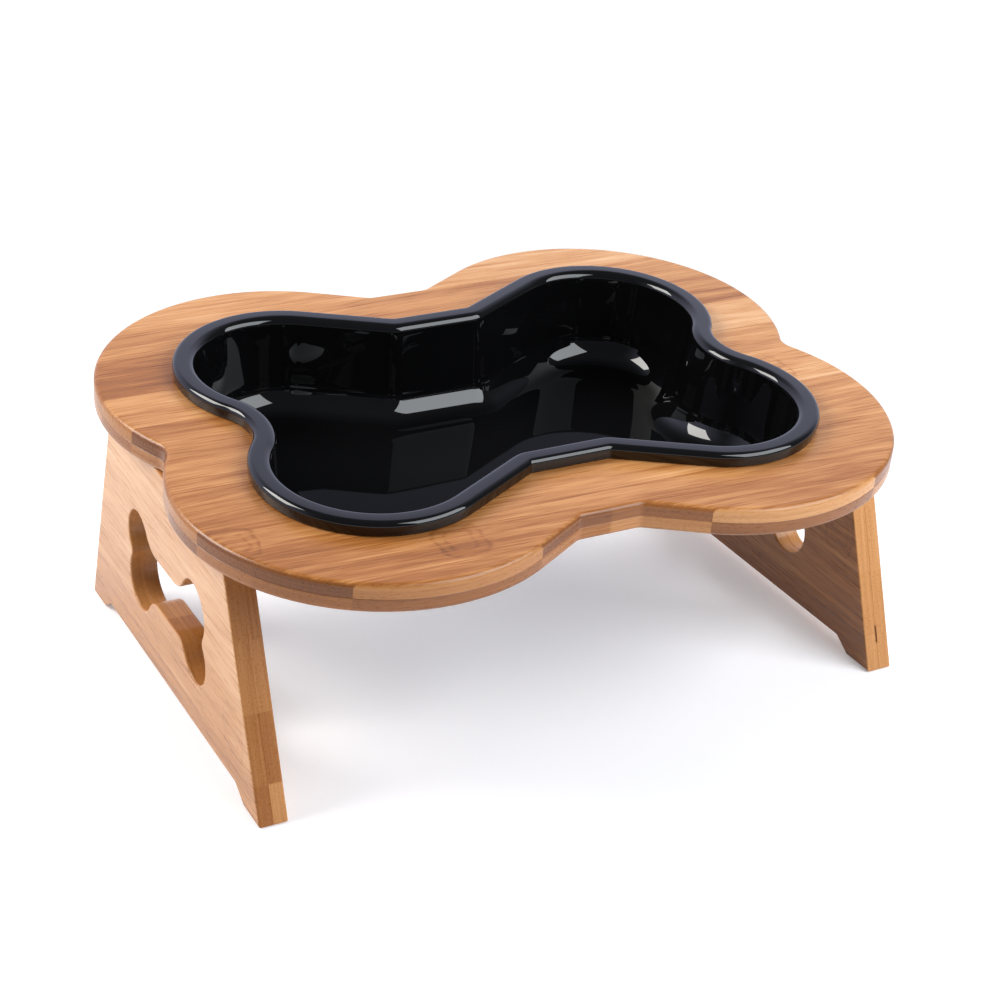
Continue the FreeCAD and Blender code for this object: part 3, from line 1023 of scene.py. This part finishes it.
def add_floor(t):
    """Pale floor with the feeder's shadow, that fades to plain white away from the feeder."""
    shader = Shader.of_material("floor")
    x, y, _ = shader.object_axes((-t.floor_middle[0], -t.floor_middle[1], 0.0))
    away = shader.maths("SQRT", x * x + y * y).step(t.floor_near, t.floor_far)
    seen = shader.seen("Camera", "Glossy", "Transmission")
    white = shader.node("ShaderNodeEmission", None, {"Color": WHITE, "Strength": FAR_FLOOR})
    shader.finish(Base_Color=(*t.floor, 1.0), Roughness=0.9, Specular_IOR_Level=0.0,
                  Emission_Color=t.floor_lift * seen, Emission_Strength=1.0)
    near = Socket(shader, shader.tree.nodes["Principled BSDF"].outputs[0])
    mixed = shader.node("ShaderNodeMixShader", None, {0: away * seen, 1: near, 2: white})
    shader.feed(shader.tree.nodes["Material Output"].inputs["Surface"], mixed)
    mesh = bpy.data.meshes.new("floor")
    half = t.floor_size / 2
    corners = [(-half, -half, 0), (half, -half, 0), (half, half, 0), (-half, half, 0)]
    mesh.from_pydata(corners, [], [(0, 1, 2, 3)])
    mesh.materials.append(shader.owner)
    floor = add_object("floor", mesh)


def add_world(t):
    """White to the camera, also through glass. To all else a pale backdrop behind, and dim elsewhere."""
    world = bpy.data.worlds.new("studio")
    bpy.context.scene.world = world
    shader = Shader(world)
    x, y, z = shader.split(shader.node("ShaderNodeTexCoord", output="Generated"))
    behind = (y - BACKDROP_TURN * x).step(*BACKDROP_REAR) * z.step(*BACKDROP_TOP)
    studio = shader.mix(behind, (*t.dim, 1.0), (*t.backdrop, 1.0))
    light = shader.mix(shader.seen("Camera", "Transmission"), studio, WHITE)
    shader.feed(shader.tree.nodes["Background"].inputs["Color"], light)


def add_softbox(name, azimuth, elevation, size, radiance, tint, mirrored):
    """Rectangular lamp that faces the feeder. Its power is radiance times pi times its area."""
    lamp = bpy.data.lights.new(name, "AREA")
    lamp.shape = "RECTANGLE"
    lamp.size, lamp.size_y = size
    lamp.energy = radiance * math.pi * size[0] * size[1]
    lamp.color = tint
    softbox = add_object(name, lamp)
    a, e = math.radians(azimuth), math.radians(elevation)
    away = Vector((math.cos(e) * math.sin(a), math.cos(e) * math.cos(a), math.sin(e)))
    turn = (-away).to_track_quat("-Z", "Y").to_matrix().to_4x4()
    place = Vector((0, 0, BOARD_MIDDLE)) + away * SOFTBOX_DISTANCE
    softbox.matrix_world = Matrix.Translation(place) @ turn
    softbox.visible_glossy = mirrored


class FEEDER_OT_stage(bpy.types.Operator):
    """Add the floor, the lamps and the camera"""
    bl_idname = "feeder.stage"
    bl_label = "Stage"

    def execute(self, context):
        """Floor and world first, then the softboxes and the camera."""
        t = settings().stage
        context.scene.view_settings.view_transform = "Standard"
        add_floor(t)
        add_world(t)
        for name, softbox in SOFTBOXES.items():
            add_softbox(name, *softbox)
        add_camera(t)
        return {"FINISHED"}


class FEEDER_PT_panel(bpy.types.Panel):
    """Lists the feeder's pieces"""
    bl_idname = "FEEDER_PT_panel"
    bl_label = "Raised Dog Feeder"
    bl_space_type = "VIEW_3D"
    bl_region_type = "UI"
    bl_category = "Feeder"

    def draw(self, context):
        """A button for each operator, and a box for each group of settings."""
        for operator in OPERATORS:
            self.layout.operator(operator.bl_idname)
        for group in ("board", "bowl", "leg", "hold", "finish", "stage"):
            box = self.layout.box()
            part = getattr(context.scene.feeder, group)
            for key in part.bl_rna.properties.keys():
                if key not in ("rna_type", "name"):
                    box.prop(part, key)


OPERATORS = (FEEDER_OT_bowl, FEEDER_OT_board, FEEDER_OT_legs, FEEDER_OT_small_parts, FEEDER_OT_stage)
CLASSES = (BoardSettings, BowlSettings, LegSettings, HoldSettings, FinishSettings, StageSettings,
           FeederSettings, *OPERATORS, FEEDER_PT_panel)


def register():
    """Registers the settings, the operators and the panel."""
    for cls in CLASSES:
        bpy.utils.register_class(cls)
    bpy.types.Scene.feeder = PointerProperty(type=FeederSettings)


def unregister():
    """Takes them away again."""
    del bpy.types.Scene.feeder
    for cls in reversed(CLASSES):
        bpy.utils.unregister_class(cls)


def main():
    """Adds all pieces and the stage."""
    register()
    bpy.ops.feeder.bowl()
    bpy.ops.feeder.board()
    bpy.ops.feeder.legs()
    bpy.ops.feeder.small_parts()
    bpy.ops.feeder.stage()


if __name__ == "__main__":
    main()
